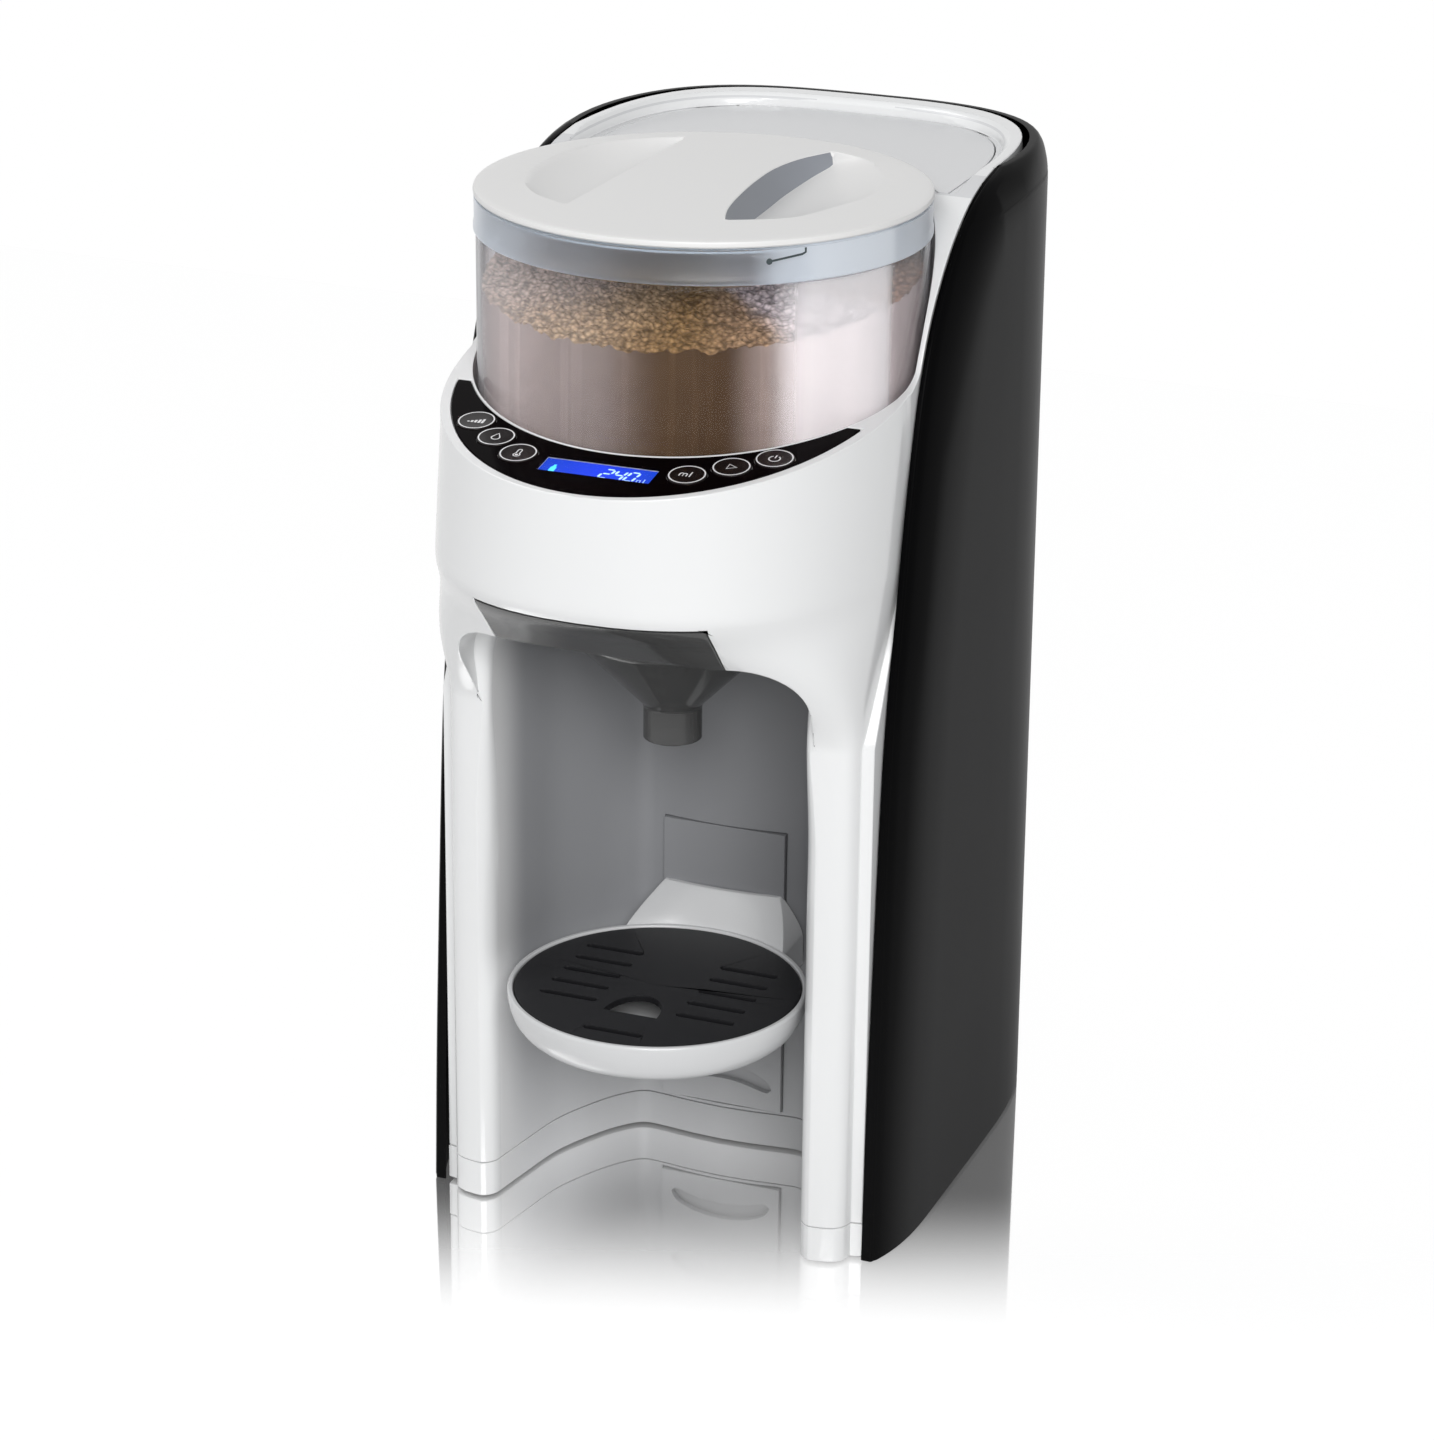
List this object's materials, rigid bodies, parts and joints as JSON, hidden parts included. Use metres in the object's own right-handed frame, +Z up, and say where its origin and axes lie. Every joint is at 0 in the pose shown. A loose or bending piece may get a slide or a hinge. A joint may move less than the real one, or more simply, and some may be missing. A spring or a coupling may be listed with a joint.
{
  "type": "baby formula maker",
  "caption": "Bench-top baby formula maker with lift-out powder container, crescent key panel, pull-out mixing funnel, hook-in drip tray and rear water tank.",
  "frame": {"origin": "middle of the footprint on the table, under the rubber feet", "axes": "+Z up, front towards -Y, +X to the right of someone facing the front"},
  "size_m": [0.1938, 0.2954, 0.394],
  "materials": {
    "gloss_white": "glossy white moulded plastic",
    "satin_white": "satin white moulded plastic",
    "gloss_black": "piano black moulded plastic",
    "panel_black": "glossy near-black panel",
    "grid_black": "satin black moulded plastic",
    "smoke_plastic": "smoke grey translucent plastic",
    "smoke_clear": "clear display window",
    "display_blue": "lit blue display",
    "board_green": "circuit board",
    "clear_plastic": "clear transparent plastic",
    "lid_plastic": "white moulded plastic with a milky translucent skirt",
    "acetal": "natural acetal",
    "powder": "granular tan powder",
    "black_rubber": "soft black rubber",
    "hose_silicone": "milky silicone hose",
    "steel": "brushed steel",
    "cast_metal": "cast aluminium"
  },
  "bodies": {
    "machine": {"front_housing": "gloss_white", "rear_shell": "gloss_black", "base_plate": "gloss_white", "rubber_foot_front_left": "black_rubber", "base_screw_front_left": "steel", "rubber_foot_front_right": "black_rubber", "base_screw_front_right": "steel", "rubber_foot_rear_left": "black_rubber", "base_screw_rear_left": "steel", "rubber_foot_rear_right": "black_rubber", "base_screw_rear_right": "steel", "rail_panel": "satin_white", "control_panel": "panel_black", "display_lens": "smoke_clear", "display_module": "display_blue", "control_board": "board_green", "pinion_seal": "black_rubber", "gearbox": "cast_metal", "drive_motor": "steel", "water_nozzle": "steel", "tank_socket": "acetal", "chassis_shelf": "satin_white", "water_pump": "cast_metal", "water_heater": "steel", "main_board": "board_green", "power_inlet": "black_rubber", "tank_hose": "hose_silicone", "pump_hose": "hose_silicone", "nozzle_hose": "hose_silicone"},
    "container": {"powder_container": "clear_plastic", "container_base": "satin_white", "formula_powder": "powder"},
    "dosing_wheel": {"portion_wheel": "acetal", "stirring_wheel": "acetal"},
    "pinion": {"drive_pinion": "acetal"},
    "seal_ring": {"lid_seal": "black_rubber"},
    "lid": {"container_lid": "lid_plastic"},
    "funnel": {"mixing_funnel": "smoke_plastic", "funnel_cover": "smoke_plastic"},
    "tray": {"drip_tray": "gloss_white"},
    "grid": {"drip_grid": "grid_black"},
    "tank": {"water_tank": "clear_plastic"},
    "tank_cover": {"tank_lid": "satin_white"},
    "valve": {"tank_valve": "black_rubber"},
    "key_powder_level": {"button_powder_level": "panel_black"},
    "key_water_type": {"button_water_type": "panel_black"},
    "key_temperature": {"button_temperature": "panel_black"},
    "key_volume": {"button_volume": "panel_black"},
    "key_start": {"button_start": "panel_black"},
    "key_power": {"button_power": "panel_black"}
  },
  "joints": [
    {"name": "container_lift", "type": "slide", "parent": "machine", "child": "container", "axis": [0, 0, 1], "range_m": [0, 0.13]},
    {"name": "dosing_wheel_spin", "type": "hinge", "parent": "container", "child": "dosing_wheel", "pos_m": [0, -0.03015, 0.276], "axis": [0, 0, 1], "continuous": true},
    {"name": "pinion_spin", "type": "hinge", "parent": "machine", "child": "pinion", "pos_m": [0, 0.03235, 0.276], "axis": [0, 0, 1], "continuous": true},
    {"name": "seal_lift", "type": "slide", "parent": "container", "child": "seal_ring", "axis": [0, 0, 1], "range_m": [0, 0.06]},
    {"name": "lid_twist", "type": "hinge", "parent": "seal_ring", "child": "lid", "pos_m": [0, -0.03015, 0.394], "axis": [0, 0, 1], "range_deg": [0, 25]},
    {"name": "funnel_slide", "type": "slide", "parent": "machine", "child": "funnel", "axis": [0, -1, 0], "range_m": [0, 0.14]},
    {"name": "tray_slide", "type": "slide", "parent": "machine", "child": "tray", "axis": [0, -1, 0], "range_m": [0, 0.09]},
    {"name": "grid_lift", "type": "slide", "parent": "tray", "child": "grid", "axis": [0, 0, 1], "range_m": [0, 0.05]},
    {"name": "tank_lift", "type": "slide", "parent": "machine", "child": "tank", "axis": [0, 0, 1], "range_m": [0, 0.26]},
    {"name": "tank_lid_lift", "type": "slide", "parent": "tank", "child": "tank_cover", "axis": [0, 0, 1], "range_m": [0, 0.06]},
    {"name": "valve_lift", "type": "slide", "parent": "tank", "child": "valve", "axis": [0, 0, 1], "range_m": [0, 0.0015], "stiffness_N_per_m": 400, "springref_m": -0.002},
    {"name": "press_powder_level", "type": "slide", "parent": "machine", "child": "key_powder_level", "axis": [0, 0.1705, -0.9854], "range_m": [0, 0.0006], "stiffness_N_per_m": 600, "springref_m": -0.0005},
    {"name": "press_water_type", "type": "slide", "parent": "machine", "child": "key_water_type", "axis": [0, 0.1705, -0.9854], "range_m": [0, 0.0006], "stiffness_N_per_m": 600, "springref_m": -0.0005},
    {"name": "press_temperature", "type": "slide", "parent": "machine", "child": "key_temperature", "axis": [0, 0.1705, -0.9854], "range_m": [0, 0.0006], "stiffness_N_per_m": 600, "springref_m": -0.0005},
    {"name": "press_volume", "type": "slide", "parent": "machine", "child": "key_volume", "axis": [0, 0.1705, -0.9854], "range_m": [0, 0.0006], "stiffness_N_per_m": 600, "springref_m": -0.0005},
    {"name": "press_start", "type": "slide", "parent": "machine", "child": "key_start", "axis": [0, 0.1705, -0.9854], "range_m": [0, 0.0006], "stiffness_N_per_m": 600, "springref_m": -0.0005},
    {"name": "press_power", "type": "slide", "parent": "machine", "child": "key_power", "axis": [0, 0.1705, -0.9854], "range_m": [0, 0.0006], "stiffness_N_per_m": 600, "springref_m": -0.0005}
  ],
  "couplings": [
    {"joint": "pinion_spin", "follows": "dosing_wheel_spin", "ratio": -4}
  ]
}
